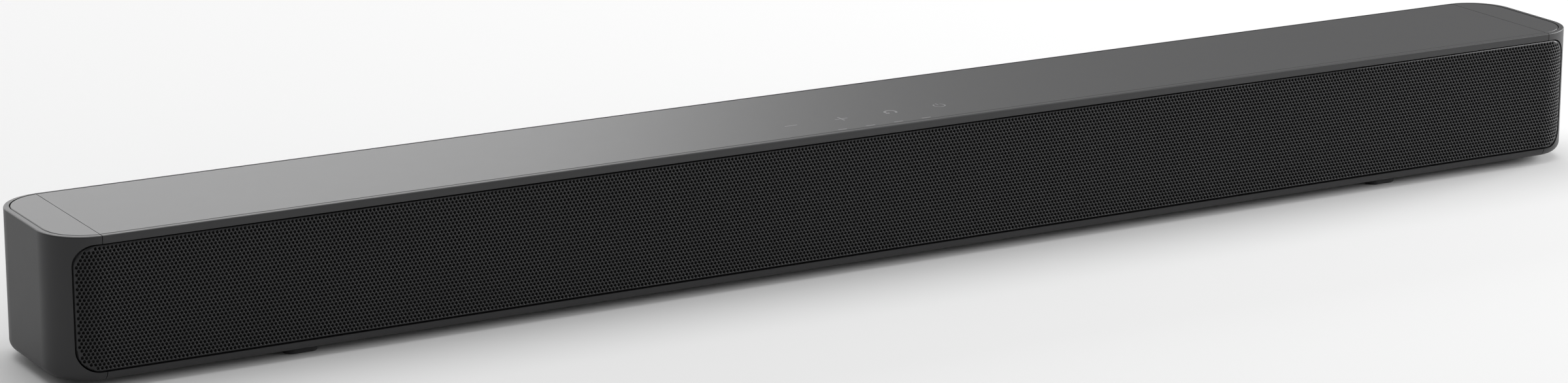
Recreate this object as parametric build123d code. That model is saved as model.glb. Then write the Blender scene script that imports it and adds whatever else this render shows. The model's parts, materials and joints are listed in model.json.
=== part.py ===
"""Soundbar with end caps, a wrapped front grille, four small loudspeakers and its electronics.

Millimetres, +Z up, +X to the right seen from the front, front face towards -Y.
The origin is the centre of the footprint, on the surface that the feet stand on.
"""

from build123d import *
import math
import os

# ---------------------------------------------------------------- driving dimensions: casing
LENGTH = 800.0
DEPTH = 79.2
CASE_HEIGHT = 63.0
FOOT_HEIGHT = 3.6
CORNER_RADIUS = 21.5
BOTTOM_EDGE_RADIUS = 5.0
TOP_EDGE_RADIUS = 0.6
WALL = 2.5
DECK = 2.0
PANEL = 1.5
SEAM_INSET = 20.6
SEAM_GAP = 0.3
SPLIT_HEIGHT = 35.0
SPLIT_GAP = 0.2
END_WALL = 2.7
CHAMBER_X = 190.5
CHAMBER_WALL = 2.0
BEYOND = 1.0

CASE_BOTTOM = FOOT_HEIGHT
CASE_TOP = FOOT_HEIGHT + CASE_HEIGHT
FRONT = -DEPTH / 2
REAR = DEPTH / 2
FLOOR_TOP = CASE_BOTTOM + WALL
DECK_TOP = CASE_TOP - PANEL
DECK_BOTTOM = DECK_TOP - DECK
SEAM_X = LENGTH / 2 - SEAM_INSET
MIDDLE_HALF = SEAM_X - SEAM_GAP / 2
CAP_START = SEAM_X + SEAM_GAP / 2

# ---------------------------------------------------------------- top rim, panels and controls
FRONT_RIM = 2.4
END_RIM = 2.5
REAR_RIM = 1.2
GROOVE = 0.5
PANEL_EDGE_RADIUS = 0.5
TOUCH_X = [-39.4, -13.1, 13.1, 39.4]
TOUCH_Y = -17.5
TOUCH_HOLE_RADIUS = 6.0
WINDOW_X = [-22.2, -7.4, 7.4, 22.2]
WINDOW_Y = -34.3
WINDOW_LENGTH = 5.0
WINDOW_WIDTH = 1.1

# ---------------------------------------------------------------- grille
BEZEL_ABOVE = 3.5
BEZEL_BELOW = 4.2
GRILLE_HALF_WIDTH = 391.7
GRILLE_CORNER = 9.5
GRILLE_GAP = 0.6
GRILLE_RECESS = 0.3
GRILLE_SHEET = 0.8
CLOTH = 0.4
CLOTH_INSET = 1.2
FRAME_INSET = 0.8
FRAME_FRONT = 1.6
FRAME_BACK = 4.0
FRAME_BORDER = 2.4
FRAME_RIB_X = [-347.0, -190.0, 0.0, 190.0, 347.0]
FRAME_RIB_WIDTH = 4.0
WINDOW_BACK_Y = -28.0

GRILLE_BOTTOM = CASE_BOTTOM + BEZEL_BELOW
GRILLE_TOP = CASE_TOP - BEZEL_ABOVE

# ---------------------------------------------------------------- loudspeakers
BAFFLE_FRONT = -32.9
BAFFLE = 3.0
BAFFLE_BACK = BAFFLE_FRONT + BAFFLE
BAFFLE_GAP = 0.2
BAFFLE_END = 3.0
BAFFLE_RIB = 1.5
BAFFLE_RIB_GAP = 0.1
RIBBON_NOTCH_HALF = 34.0
RIBBON_NOTCH_BOTTOM = 60.4
DRIVER_X = [-310.0, -235.0, 235.0, 310.0]
DRIVER_Z = 34.8
DRIVER_HOLE = 23.5
FLANGE_RADIUS = 26.0
FLANGE = 1.8
EAR_HALF = 24.0
EAR_CORNER = 7.0
EAR_REACH = 3.4
GASKET = 0.2
GASKET_OUTER = 25.8
GASKET_INNER = 24.0
GASKET_SQUEEZE = 0.02
BASKET_MOUTH = 22.2
BASKET_DEPTH = 15.0
BASKET_FOOT = 16.0
BASKET_SHEET = 1.0
BASKET_BACK = 1.2
BASKET_BACK_HOLE = 8.5
ARM_SLOT = (14.0, 16.0)
MOTOR_FRONT = -16.2
MOTOR_LENGTH = 11.0
MAGNET_RADIUS = 15.0
PLATE_RADIUS = 14.0
FRONT_PLATE = 2.0
BACK_PLATE = 2.6
MAGNET_BORE = 8.0
POLE_RADIUS = 5.6
COIL_INNER = 5.95
COIL_OUTER = 6.35
GAP_RADIUS = 6.75
CONE_RADIUS = 19.5
CONE_THROAT = 6.4
CONE_FRONT = -34.2
CONE_BACK = -25.4
CONE_SHELL = 0.6
COIL_BACK = -12.2
DUST_CAP_SPHERE = 11.0
DUST_CAP_SHELL = 0.4
DUST_CAP_RADIUS = 8.6
DUST_CAP_EDGE = -27.6
SURROUND_INNER = 20.0
SURROUND_OUTER = 23.6
SURROUND_LIP = 25.2
SURROUND_SHEET = 0.4
SPIDER_INNER = 6.9
SPIDER_STEP = 1.1
SPIDER_STEPS = 7
SPIDER_WAVE = 0.9
SPIDER_SHEET = 0.35
SPIDER_RIM = (13.9, 15.0)
SPIDER_STAND = 1.9
DRIVER_SCREW_RADIUS = 23.4
DRIVER_SCREW_HEAD = (2.4, 1.2)

# ---------------------------------------------------------------- connector bay and sockets
BAY_HALF = 72.0
BAY_FRONT = 13.6
BAY_TOP = 27.0
BOARD_BOTTOM = 10.0
BOARD = 1.6
BOARD_TOP = BOARD_BOTTOM + BOARD
SOCKET_GAP = 0.15
HDMI_X = -52.0
OPTICAL_X = -30.0
USB_X = -8.0
JACK_X = 14.0
INLET_X = 50.0
JACK_BORE = 1.8
JACK_DEPTH = 14.0

# ---------------------------------------------------------------- fixings
SCREW_SHANK = 1.25
PILOT = 1.3
CLEARANCE = 1.7
SCREW_HEAD = 2.8
HEAD_HANGS = 2.0
HEAD_STANDS = 1.8
DRIVE_RADIUS = 0.9
DRIVE_DEPTH = 1.1
SCREW_POCKET_TOP = 8.0
CASE_SCREW_TIP = 40.0
PILOT_TOP = 45.0
UPPER_BOSS = 4.0
LOWER_BOSS = 5.0
BOARD_BOSS = 3.0
CAP_BOSS = 4.0
CASE_SCREWS = [(x, y) for x in (-362.0, -180.0, 180.0, 362.0) for y in (-20.0, 30.0)]
CAP_SCREWS = [(y, z) for y in (-12.0, 12.0) for z in (18.0, 52.0)]
BOSS_JOINT = 20.0
PORT_X = 325.0
PORT_Z = 49.0
PORT_BORE = 9.0
PORT_WALL = 1.5
PORT_FLARE = 12.8
PORT_LENGTH = 30.0
PORT_FLANGE = 1.05
PORT_ROUNDING = 2.5
PORT_GAP = 0.1
IR_X = 63.0
IR_Z = 42.0
IR_HALF = 6.0
IR_LENS_RADIUS = 2.4
INSERT_X = 250.0
INSERT_Z = 50.0
INSERT_RADIUS = 3.5
INSERT_BORE = 2.1
INSERT_LENGTH = 10.0
INSERT_BOSS = 6.0
FOOT_X = 287.3
FOOT_Y = 24.0
FOOT_SIZE = (15.5, 14.0)
FOOT_CORNER = 4.0
FOOT_LAND = 0.9
FOOT_LAND_MARGIN = 0.6
MAIN_BOARD = (-70.0, 32.0, -26.0, 10.6)
POWER_BOARD = (85.0, 165.0, -26.0, 34.0)
TOUCH_BOARD = (-55.0, 55.0, -27.0, -9.0)
TOUCH_BOARD_Z = 56.0
BOARD_HOLE_INSET = 4.0
GUIDE_BOTTOM = 61.0
RIBBON_HALF = 6.0
RIBBON_THICKNESS = 0.3
WIRE_RADIUS = 0.8
WIRE_HEIGHT = 8.2
WIRE_TURN_X = 271.0
WIRE_TOP = 26.0
WIRE_BEND = 8.0
WIRE_Y = (-8.0, -10.2)
WIRE_START = {-1: 76.0, 1: 40.0}
WIRE_NOTCH = (-13.0, -5.0, 5.0)


# ---------------------------------------------------------------- small building blocks
def block(x0, x1, y0, y1, z0, z1):
    """A box between two corners."""
    centre = Pos((x0 + x1) / 2, (y0 + y1) / 2, (z0 + z1) / 2)
    return centre * Box(x1 - x0, y1 - y0, z1 - z0)


def post(x, y, z0, z1, radius):
    """An upright cylinder."""
    return Pos(x, y, (z0 + z1) / 2) * Cylinder(radius, z1 - z0)


def rod_y(x, z, y0, y1, radius):
    """A cylinder that runs front to back."""
    return Pos(x, (y0 + y1) / 2, z) * Rot(90, 0, 0) * Cylinder(radius, y1 - y0)


def rod_x(y, z, x0, x1, radius):
    """A cylinder that runs along the length."""
    return Pos((x0 + x1) / 2, y, z) * Rot(0, 90, 0) * Cylinder(radius, abs(x1 - x0))


def plan(inset, z0, z1):
    """The casing's outline, drawn in by an inset, between two heights."""
    outline = RectangleRounded(LENGTH - 2 * inset, DEPTH - 2 * inset, CORNER_RADIUS - inset)
    return extrude(Pos(0, 0, z0) * outline, z1 - z0)


def front_prism(half_width, z0, z1, corner, y0, y1):
    """A round-cornered rectangle seen from the front, run from y0 back to y1."""
    plane = Plane(origin=(0, y0, (z0 + z1) / 2), x_dir=(1, 0, 0), z_dir=(0, 1, 0))
    return extrude(plane * RectangleRounded(2 * half_width, z1 - z0, corner), y1 - y0)


def grille_window(inset, y1=WINDOW_BACK_Y):
    """The opening of the grille, drawn in by an inset."""
    return front_prism(
        GRILLE_HALF_WIDTH - inset,
        GRILLE_BOTTOM + inset,
        GRILLE_TOP - inset,
        GRILLE_CORNER - inset,
        FRONT - 1,
        y1,
    )


def wrapped_sheet(outer, inner, inset):
    """A layer of the front that follows the casing's corners, cut to the grille's outline."""
    layer = plan(outer, CASE_BOTTOM, CASE_TOP) - plan(inner, CASE_BOTTOM - 1, CASE_TOP + 1)
    return layer & grille_window(inset)


def turned(points, x):
    """A ring turned about a loudspeaker's axis from (radius, y) points."""
    profile = make_face(Polyline(*points, close=True))
    return Pos(x, 0, DRIVER_Z) * revolve(profile, Axis.Y)


def screw_up(x, y, seat, tip):
    """A pan-head screw driven upwards: its head hangs below the seat."""
    head = post(x, y, seat - HEAD_HANGS, seat, SCREW_HEAD)
    drive = post(x, y, seat - HEAD_HANGS - 0.1, seat - HEAD_HANGS + DRIVE_DEPTH, DRIVE_RADIUS)
    return head + post(x, y, seat, tip, SCREW_SHANK) - drive


def screw_down(x, y, seat, tip):
    """A pan-head screw driven downwards: its head stands above the seat."""
    head = post(x, y, seat, seat + HEAD_STANDS, SCREW_HEAD)
    drive = post(x, y, seat + HEAD_STANDS - 1.0, seat + HEAD_STANDS + 0.1, DRIVE_RADIUS)
    return head + post(x, y, tip, seat, SCREW_SHANK) - drive


def together(parts):
    """Separate solids kept in one node."""
    return Compound(children=[solid for part in parts for solid in part.solids()])


# ---------------------------------------------------------------- casing
def outer_body():
    body = plan(0, CASE_BOTTOM, CASE_TOP)
    body = fillet(body.faces().sort_by(Axis.Z)[0].edges(), BOTTOM_EDGE_RADIUS)
    return fillet(body.faces().sort_by(Axis.Z)[-1].edges(), TOP_EDGE_RADIUS)


def panel_outline(inset):
    """The outline inside the top rim, drawn in by an inset."""
    x1 = LENGTH / 2 - END_RIM - inset
    y0 = FRONT + FRONT_RIM + inset
    y1 = REAR - REAR_RIM - inset
    shape = Pos(0, (y0 + y1) / 2) * Rectangle(2 * x1, y1 - y0)
    front_corners = shape.vertices().filter_by(lambda v: v.Y < 0)
    shape = fillet(front_corners, CORNER_RADIUS - FRONT_RIM - inset)
    rear_corners = shape.vertices().filter_by(lambda v: v.Y > y1 - 1)
    return fillet(rear_corners, CORNER_RADIUS - REAR_RIM - inset)


def casing():
    """The whole skin before it is parted into housings and end caps."""
    cavity = plan(WALL, FLOOR_TOP, DECK_BOTTOM)
    cavity = fillet(cavity.faces().sort_by(Axis.Z)[0].edges(), BOTTOM_EDGE_RADIUS - WALL)
    recess = extrude(Pos(0, 0, DECK_TOP) * panel_outline(0), PANEL + 1)
    return outer_body() - cavity - recess - grille_window(0)


def end_walls(z0, z1):
    """Upright walls that close the middle casing at both ends."""
    room = plan(WALL, z0, z1)
    walls = block(MIDDLE_HALF - END_WALL, MIDDLE_HALF, FRONT, REAR, z0, z1)
    walls += mirror(walls, Plane.YZ)
    return (room & walls) - grille_window(0, FRONT + FRAME_BACK + 1.0)


def chamber_walls(z0, z1):
    """Walls that keep the loudspeakers' air apart from the electronics."""
    half = CHAMBER_WALL / 2
    wall = block(CHAMBER_X - half, CHAMBER_X + half, BAFFLE_BACK + 2.0, REAR - WALL, z0, z1)
    return wall + mirror(wall, Plane.YZ)


def cap_screw_holes():
    holes = [rod_x(y, z, MIDDLE_HALF - 4, MIDDLE_HALF + 1, CLEARANCE) for y, z in CAP_SCREWS]
    return holes + [mirror(hole, Plane.YZ) for hole in holes]


def baffle_ribs(z0, z1, inner_x):
    """Pairs of ribs that grip the edge of the baffle."""
    outer_x = MIDDLE_HALF - BAFFLE_END
    gap, reach = BAFFLE_RIB_GAP, BAFFLE_RIB_GAP + BAFFLE_RIB
    front = block(inner_x, outer_x, BAFFLE_FRONT - reach, BAFFLE_FRONT - gap, z0, z1)
    back = block(inner_x, outer_x, BAFFLE_BACK + gap, BAFFLE_BACK + reach, z0, z1)
    ribs = front + back
    return ribs + mirror(ribs, Plane.YZ)


def board_corners(board):
    x0, x1, y0, y1 = board
    inset = BOARD_HOLE_INSET
    return [(x, y) for x in (x0 + inset, x1 - inset) for y in (y0 + inset, y1 - inset)]


def upper_housing(skin):
    middle = block(-MIDDLE_HALF, MIDDLE_HALF, FRONT, REAR, SPLIT_HEIGHT + SPLIT_GAP / 2, CASE_TOP)
    part = skin & middle
    part += end_walls(SPLIT_HEIGHT + SPLIT_GAP / 2, DECK_BOTTOM)
    part += chamber_walls(SPLIT_HEIGHT + SPLIT_GAP / 2, DECK_BOTTOM)
    part += baffle_ribs(DECK_BOTTOM - 1.9, DECK_BOTTOM, 40.0)
    for x, y in CASE_SCREWS:
        part += post(x, y, BOSS_JOINT + 0.2, DECK_BOTTOM, UPPER_BOSS)
        part -= post(x, y, BOSS_JOINT - BEYOND, PILOT_TOP, PILOT)
    for x, y in board_corners(TOUCH_BOARD):
        part += post(x, y, TOUCH_BOARD_Z + BOARD, DECK_BOTTOM, BOARD_BOSS)
        part -= post(x, y, TOUCH_BOARD_Z, DECK_BOTTOM - 0.5, PILOT)
    for x in (-INSERT_X, INSERT_X):
        part += rod_y(x, INSERT_Z, REAR - INSERT_LENGTH - 2.0, REAR - WALL, INSERT_BOSS)
        part -= rod_y(x, INSERT_Z, REAR - INSERT_LENGTH - 0.3, REAR + 1, INSERT_RADIUS)
    for x in (-PORT_X, PORT_X):
        tube_hole = PORT_BORE + PORT_WALL + PORT_GAP
        part -= rod_y(x, PORT_Z, REAR - WALL - BEYOND, REAR + BEYOND, tube_hole)
        seat = REAR - PORT_FLANGE - 1.5 * PORT_GAP
        part -= rod_y(x, PORT_Z, seat, REAR + BEYOND, PORT_FLARE + PORT_GAP)
    for x in TOUCH_X:
        part -= post(x, TOUCH_Y, DECK_BOTTOM - 1, DECK_TOP + 1, TOUCH_HOLE_RADIUS)
    for x in WINDOW_X:
        part -= light_guide_slot(x, 0.15, DECK_BOTTOM - 1, DECK_TOP + 1)
    for hole in cap_screw_holes():
        part -= hole
    return part


def lower_housing(skin):
    top = SPLIT_HEIGHT - SPLIT_GAP / 2
    middle = block(-MIDDLE_HALF, MIDDLE_HALF, FRONT, REAR, CASE_BOTTOM, top)
    part = skin & middle
    part += end_walls(FLOOR_TOP, top)
    part += chamber_walls(FLOOR_TOP, top)
    part += baffle_ribs(FLOOR_TOP, FLOOR_TOP + 2.3, 0.5)
    bay_outer = BAY_HALF + WALL
    part += block(-bay_outer, bay_outer, BAY_FRONT - WALL, REAR - 1, FLOOR_TOP, BAY_TOP + WALL)
    part -= block(-BAY_HALF, BAY_HALF, BAY_FRONT, REAR + 1, CASE_BOTTOM - 1, BAY_TOP)
    for x, y in CASE_SCREWS:
        part += post(x, y, FLOOR_TOP, BOSS_JOINT, LOWER_BOSS)
        part -= post(x, y, CASE_BOTTOM - BEYOND, SCREW_POCKET_TOP, SCREW_HEAD + 0.4)
        part -= post(x, y, SCREW_POCKET_TOP - BEYOND, BOSS_JOINT + BEYOND, CLEARANCE)
    for x, y in board_corners(MAIN_BOARD) + board_corners(POWER_BOARD):
        part += post(x, y, FLOOR_TOP, BOARD_BOTTOM, BOARD_BOSS)
        part -= post(x, y, CASE_BOTTOM + 1.2, BOARD_BOTTOM + 1, PILOT)
    for x, y in foot_places():
        part += foot_prism(x, y, FOOT_LAND_MARGIN, CASE_BOTTOM - FOOT_LAND, CASE_BOTTOM + 0.5)
    front, back, height = WIRE_NOTCH
    for x in (-CHAMBER_X, CHAMBER_X):
        part -= block(x - 3, x + 3, front, back, FLOOR_TOP, FLOOR_TOP + height)
    for cutter in socket_cutters():
        part -= cutter
    for hole in cap_screw_holes():
        part -= hole
    return part


def end_cap_right(skin):
    part = skin & block(CAP_START, LENGTH / 2, FRONT, REAR, CASE_BOTTOM, CASE_TOP)
    for y, z in CAP_SCREWS:
        part += rod_x(y, z, CAP_START, LENGTH / 2 - 1.5, CAP_BOSS)
        part -= rod_x(y, z, CAP_START - 1, LENGTH / 2 - 5, PILOT)
    return part


def top_plates():
    """The middle panel and the two inlays in the end caps, from one outline rounded at its outer edge."""
    sheet = extrude(Pos(0, 0, DECK_TOP) * panel_outline(GROOVE), PANEL)
    sheet = fillet(sheet.faces().sort_by(Axis.Z)[-1].edges(), PANEL_EDGE_RADIUS)
    middle = sheet & block(-MIDDLE_HALF, MIDDLE_HALF, FRONT, REAR, DECK_TOP, CASE_TOP)
    right = sheet & block(CAP_START, LENGTH / 2, FRONT, REAR, DECK_TOP, CASE_TOP)
    for x in WINDOW_X:
        middle -= light_guide_slot(x, 0.05, DECK_TOP - 1, CASE_TOP + 1)
    return middle, right


# ---------------------------------------------------------------- front
def front_grille():
    return wrapped_sheet(GRILLE_RECESS, GRILLE_RECESS + GRILLE_SHEET, GRILLE_GAP)


def grille_cloth():
    front = GRILLE_RECESS + GRILLE_SHEET + 0.02
    return wrapped_sheet(front, front + CLOTH, CLOTH_INSET)


def grille_frame():
    """A border behind the cloth, with ribs across it."""
    layer = wrapped_sheet(FRAME_FRONT, FRAME_BACK, FRAME_INSET)
    frame = layer - grille_window(FRAME_INSET + FRAME_BORDER)
    for x in FRAME_RIB_X:
        half = FRAME_RIB_WIDTH / 2
        frame += layer & block(x - half, x + half, FRONT, 0, CASE_BOTTOM, CASE_TOP)
    return frame


def front_baffle():
    half = MIDDLE_HALF - BAFFLE_END
    plate = block(-half, half, BAFFLE_FRONT, BAFFLE_BACK, FLOOR_TOP + BAFFLE_GAP, DECK_BOTTOM - BAFFLE_GAP)
    for x in DRIVER_X:
        plate -= rod_y(x, DRIVER_Z, BAFFLE_FRONT - 1, BAFFLE_BACK + 1, DRIVER_HOLE)
        for sx, sz in driver_screw_offsets():
            plate -= rod_y(x + sx, DRIVER_Z + sz, BAFFLE_FRONT - 1, BAFFLE_BACK + 1, PILOT)
    notch = RIBBON_NOTCH_HALF
    plate -= block(-notch, notch, BAFFLE_FRONT - 1, BAFFLE_BACK + 1, RIBBON_NOTCH_BOTTOM, DECK_BOTTOM)
    return plate


# ---------------------------------------------------------------- loudspeakers
def driver_screw_offsets():
    """Screw places on the square ears of a loudspeaker's flange."""
    reach = DRIVER_SCREW_RADIUS * math.sin(math.radians(45)) + EAR_REACH
    return [(sx * reach, sz * reach) for sx in (-1, 1) for sz in (-1, 1)]


def driver_frame(x):
    """Pressed basket: a flange with square ears, four arms and a back ring."""
    front = BAFFLE_FRONT - GASKET - FLANGE
    back = BAFFLE_FRONT - GASKET
    foot = back + BASKET_DEPTH
    ears = front_prism(EAR_HALF, DRIVER_Z - EAR_HALF, DRIVER_Z + EAR_HALF, EAR_CORNER, front, back)
    flange = (ears + rod_y(0, DRIVER_Z, front, back, FLANGE_RADIUS)) - rod_y(
        0, DRIVER_Z, front - 1, back + 1, BASKET_MOUTH
    )
    flange = Pos(x, 0, 0) * flange
    outer = BASKET_MOUTH + BASKET_SHEET
    inside = foot - BASKET_BACK
    wall = turned(
        [(BASKET_MOUTH, back - 0.5), (outer, back - 0.5), (outer, back + 1.5), (BASKET_FOOT, foot),
         (BASKET_BACK_HOLE, foot), (BASKET_BACK_HOLE, inside), (BASKET_FOOT - 0.8, inside),
         (BASKET_MOUTH, back + 1.2)],
        x,
    )
    slot_length, slot_width = ARM_SLOT
    for angle in (45, 135, 225, 315):
        slot = Pos(x, 0, DRIVER_Z) * Rot(0, angle, 0) * Pos(20, (back + foot) / 2, 0)
        wall -= slot * Box(slot_length, foot - back - 6, slot_width)
    frame = flange + wall
    for sx, sz in driver_screw_offsets():
        frame -= rod_y(x + sx, DRIVER_Z + sz, front - 1, back + 1, CLEARANCE)
    return frame


def driver_motor(x):
    """Magnet ring between a front plate and a back plate that carries the pole."""
    front = MOTOR_FRONT
    back = MOTOR_FRONT + MOTOR_LENGTH
    magnet_front = front + FRONT_PLATE
    magnet_back = back - BACK_PLATE
    outline = [
        (0, front), (POLE_RADIUS, front), (POLE_RADIUS, magnet_back), (MAGNET_BORE, magnet_back),
        (MAGNET_BORE, magnet_front), (GAP_RADIUS, magnet_front), (GAP_RADIUS, front),
        (PLATE_RADIUS, front), (PLATE_RADIUS, magnet_front), (MAGNET_RADIUS, magnet_front),
        (MAGNET_RADIUS, magnet_back), (PLATE_RADIUS, magnet_back), (PLATE_RADIUS, back), (0, back),
    ]
    return turned(outline, x)


def driver_cone(x):
    """Paper cone with its dust cap and voice coil, the part that moves."""
    cone = turned(
        [(CONE_RADIUS, CONE_FRONT), (CONE_THROAT + 0.2, CONE_BACK), (COIL_INNER, CONE_BACK),
         (COIL_INNER, CONE_BACK - CONE_SHELL), (CONE_THROAT, CONE_BACK - CONE_SHELL - 0.3),
         (CONE_RADIUS - 0.3, CONE_FRONT - CONE_SHELL), (CONE_RADIUS, CONE_FRONT - CONE_SHELL)],
        x,
    )
    coil = turned(
        [(COIL_INNER, CONE_BACK - 0.4), (COIL_OUTER, CONE_BACK - 0.4), (COIL_OUTER, COIL_BACK),
         (COIL_INNER, COIL_BACK)],
        x,
    )
    dome = Sphere(DUST_CAP_SPHERE) - Sphere(DUST_CAP_SPHERE - DUST_CAP_SHELL)
    dome_centre = DUST_CAP_EDGE + math.sqrt(DUST_CAP_SPHERE**2 - DUST_CAP_RADIUS**2)
    dome = Pos(x, dome_centre, DRIVER_Z) * dome
    half = DUST_CAP_SPHERE + 1
    dome &= block(x - half, x + half, DUST_CAP_EDGE - 8, DUST_CAP_EDGE, DRIVER_Z - half, DRIVER_Z + half)
    return cone + coil + dome


def driver_surround(x):
    """Half-roll rubber edge with a lip glued to the flange."""
    seat = BAFFLE_FRONT - GASKET - FLANGE
    middle = (SURROUND_INNER + SURROUND_OUTER) / 2
    roll = (SURROUND_OUTER - SURROUND_INNER) / 2
    ring = Pos(middle, seat) * (Circle(roll) - Circle(roll - SURROUND_SHEET))
    ring &= Pos(middle, seat - roll) * Rectangle(4 * roll, 2 * roll)
    lip = Pos((SURROUND_OUTER + SURROUND_LIP) / 2 - 0.2, seat - SURROUND_SHEET / 2)
    profile = ring + lip * Rectangle(SURROUND_LIP - SURROUND_OUTER + 0.4, SURROUND_SHEET)
    return Pos(x, 0, DRIVER_Z) * revolve(profile, Axis.Y)


def driver_spider(x):
    """Corrugated centring ring between the basket's back and the voice coil."""
    back = BAFFLE_FRONT - GASKET + BASKET_DEPTH - BASKET_BACK
    trough = back - SPIDER_STAND
    crests = [
        (SPIDER_INNER + SPIDER_STEP * step, trough - (SPIDER_WAVE if step % 2 else 0.0))
        for step in range(SPIDER_STEPS)
    ]
    inner, outer = SPIDER_RIM
    rim = [(outer, trough), (outer, back - 0.05), (inner, back - 0.05), (inner, back - 1.5)]
    under = [(r, y + SPIDER_SHEET) for r, y in reversed(crests)]
    return turned(crests + rim + under, x)


def driver_gasket(x):
    back = BAFFLE_FRONT
    front = back - GASKET
    ring = rod_y(x, DRIVER_Z, front + GASKET_SQUEEZE, back - GASKET_SQUEEZE, GASKET_OUTER)
    return ring - rod_y(x, DRIVER_Z, back - 1, back + 1, GASKET_INNER)


def driver_screw(x, sx, sz):
    seat = BAFFLE_FRONT - GASKET - FLANGE
    radius, height = DRIVER_SCREW_HEAD
    head = rod_y(x + sx, DRIVER_Z + sz, seat - height, seat, radius)
    return head + rod_y(x + sx, DRIVER_Z + sz, seat, BAFFLE_BACK, SCREW_SHANK - 0.1)


def bass_port(x):
    """Flared tube let into the rear wall."""
    face = REAR - PORT_GAP
    tube = rod_y(x, PORT_Z, REAR - PORT_LENGTH, face, PORT_BORE + PORT_WALL)
    flange = rod_y(x, PORT_Z, face - PORT_FLANGE, face, PORT_FLARE)
    port = tube + flange - rod_y(x, PORT_Z, REAR - PORT_LENGTH - 1, REAR + 1, PORT_BORE)
    mouth = port.edges().filter_by(GeomType.CIRCLE).sort_by(Axis.Y)[-2:]
    inner = mouth.sort_by(lambda edge: edge.radius)[0]
    return fillet(inner, PORT_ROUNDING)


# ---------------------------------------------------------------- sockets and boards
def socket_body(x, width, z0, z1, y0):
    return block(x - width / 2, x + width / 2, y0, BAY_FRONT, z0, z1)


def socket_sizes():
    """Centre x, width, bottom, top and front end of each socket in the bay."""
    return {
        "hdmi": (HDMI_X, 15.4, BOARD_TOP, BOARD_TOP + 6.2, 1.6),
        "optical": (OPTICAL_X, 10.0, BOARD_TOP, BOARD_TOP + 10.0, 0.6),
        "usb": (USB_X, 14.4, BOARD_TOP, BOARD_TOP + 7.0, -0.4),
        "jack": (JACK_X, 8.0, BOARD_TOP, BOARD_TOP + 7.0, -2.4),
        "inlet": (INLET_X, 24.0, 11.0, 24.0, -6.4),
    }


def socket_cutters():
    gap = SOCKET_GAP
    wall_front = BAY_FRONT - WALL - 1
    cutters = []
    for x, width, z0, z1, _ in socket_sizes().values():
        half = width / 2 + gap
        cutters.append(block(x - half, x + half, wall_front, BAY_FRONT + 1, z0 - gap, z1 + gap))
    return cutters


def hdmi_socket():
    x, width, z0, z1, y0 = socket_sizes()["hdmi"]
    body = socket_body(x, width, z0, z1, y0)
    middle = (z0 + z1) / 2
    mouth = block(x - 7.1, x + 7.1, BAY_FRONT - 9.0, BAY_FRONT + 1, middle - 2.4, middle + 2.4)
    tongue = block(x - 5.6, x + 5.6, BAY_FRONT - 9.0, BAY_FRONT - 1.5, middle - 0.5, middle + 0.5)
    return body - mouth + tongue


def usb_socket():
    x, width, z0, z1, y0 = socket_sizes()["usb"]
    body = socket_body(x, width, z0, z1, y0)
    middle = (z0 + z1) / 2
    mouth = block(x - 6.3, x + 6.3, BAY_FRONT - 12.0, BAY_FRONT + 1, middle - 2.6, middle + 2.6)
    tongue = block(x - 5.6, x + 5.6, BAY_FRONT - 12.0, BAY_FRONT - 1.2, middle + 0.3, middle + 2.0)
    return body - mouth + tongue


def optical_socket():
    x, width, z0, z1, y0 = socket_sizes()["optical"]
    body = socket_body(x, width, z0, z1, y0)
    middle = (z0 + z1) / 2
    return body - block(x - 3.0, x + 3.0, BAY_FRONT - 8.0, BAY_FRONT + 1, middle - 3.0, middle + 3.0)


def aux_socket():
    x, width, z0, z1, y0 = socket_sizes()["jack"]
    body = socket_body(x, width, z0, z1, y0)
    return body - rod_y(x, (z0 + z1) / 2, BAY_FRONT - JACK_DEPTH, BAY_FRONT + 1, JACK_BORE)


def power_inlet():
    """Two-pole mains inlet: a figure-eight well with two round pins."""
    x, width, z0, z1, y0 = socket_sizes()["inlet"]
    body = socket_body(x, width, z0, z1, y0)
    middle = (z0 + z1) / 2
    for side in (-1, 1):
        body -= rod_y(x + side * 4.3, middle, BAY_FRONT - 12.0, BAY_FRONT + 1, 4.0)
    body -= block(x - 4.3, x + 4.3, BAY_FRONT - 12.0, BAY_FRONT + 1, middle - 3.0, middle + 3.0)
    for side in (-1, 1):
        body += rod_y(x + side * 4.3, middle, BAY_FRONT - 12.5, BAY_FRONT - 2.0, 1.2)
    return body


def board(area, z0):
    x0, x1, y0, y1 = area
    plate = block(x0, x1, y0, y1, z0, z0 + BOARD)
    for x, y in board_corners(area):
        plate -= post(x, y, z0 - 1, z0 + BOARD + 1, CLEARANCE)
    return plate


def chips(places, z0):
    """Chips and connectors that are soldered to a board: (x, y, width, depth, height)."""
    return [block(x - w / 2, x + w / 2, y - d / 2, y + d / 2, z0, z0 + h) for x, y, w, d, h in places]


def main_board():
    part = board(MAIN_BOARD, BOARD_BOTTOM)
    places = [(-30, -8, 14, 14, 1.2), (0, -12, 12, 9, 1.6), (20, -14, 7, 7, 6.0), (24.5, -4, 7, 7, 6.0),
              (0, -24.2, 14, 3, 2.6), (-40, 4, 4.6, 4, 1.0), (-65, -4, 4, 6, 1.0)]
    for chip in chips(places, BOARD_TOP):
        part += chip
    return part


def wireless_module():
    plate = block(-60, -44, -20.5, -7.5, BOARD_TOP + 0.05, BOARD_TOP + 0.85)
    return plate + block(-58.5, -49, -19.5, -8.5, BOARD_TOP + 0.8, BOARD_TOP + 2.4)


def heatsink():
    base = block(-14, 14, -19.0, -5.0, BOARD_TOP + 1.65, BOARD_TOP + 3.6)
    for step in range(7):
        x = -13 + step * 26 / 6
        base += block(x - 0.6, x + 0.6, -19.0, -5.0, BOARD_TOP + 3.5, BOARD_TOP + 15.0)
    return base


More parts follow.
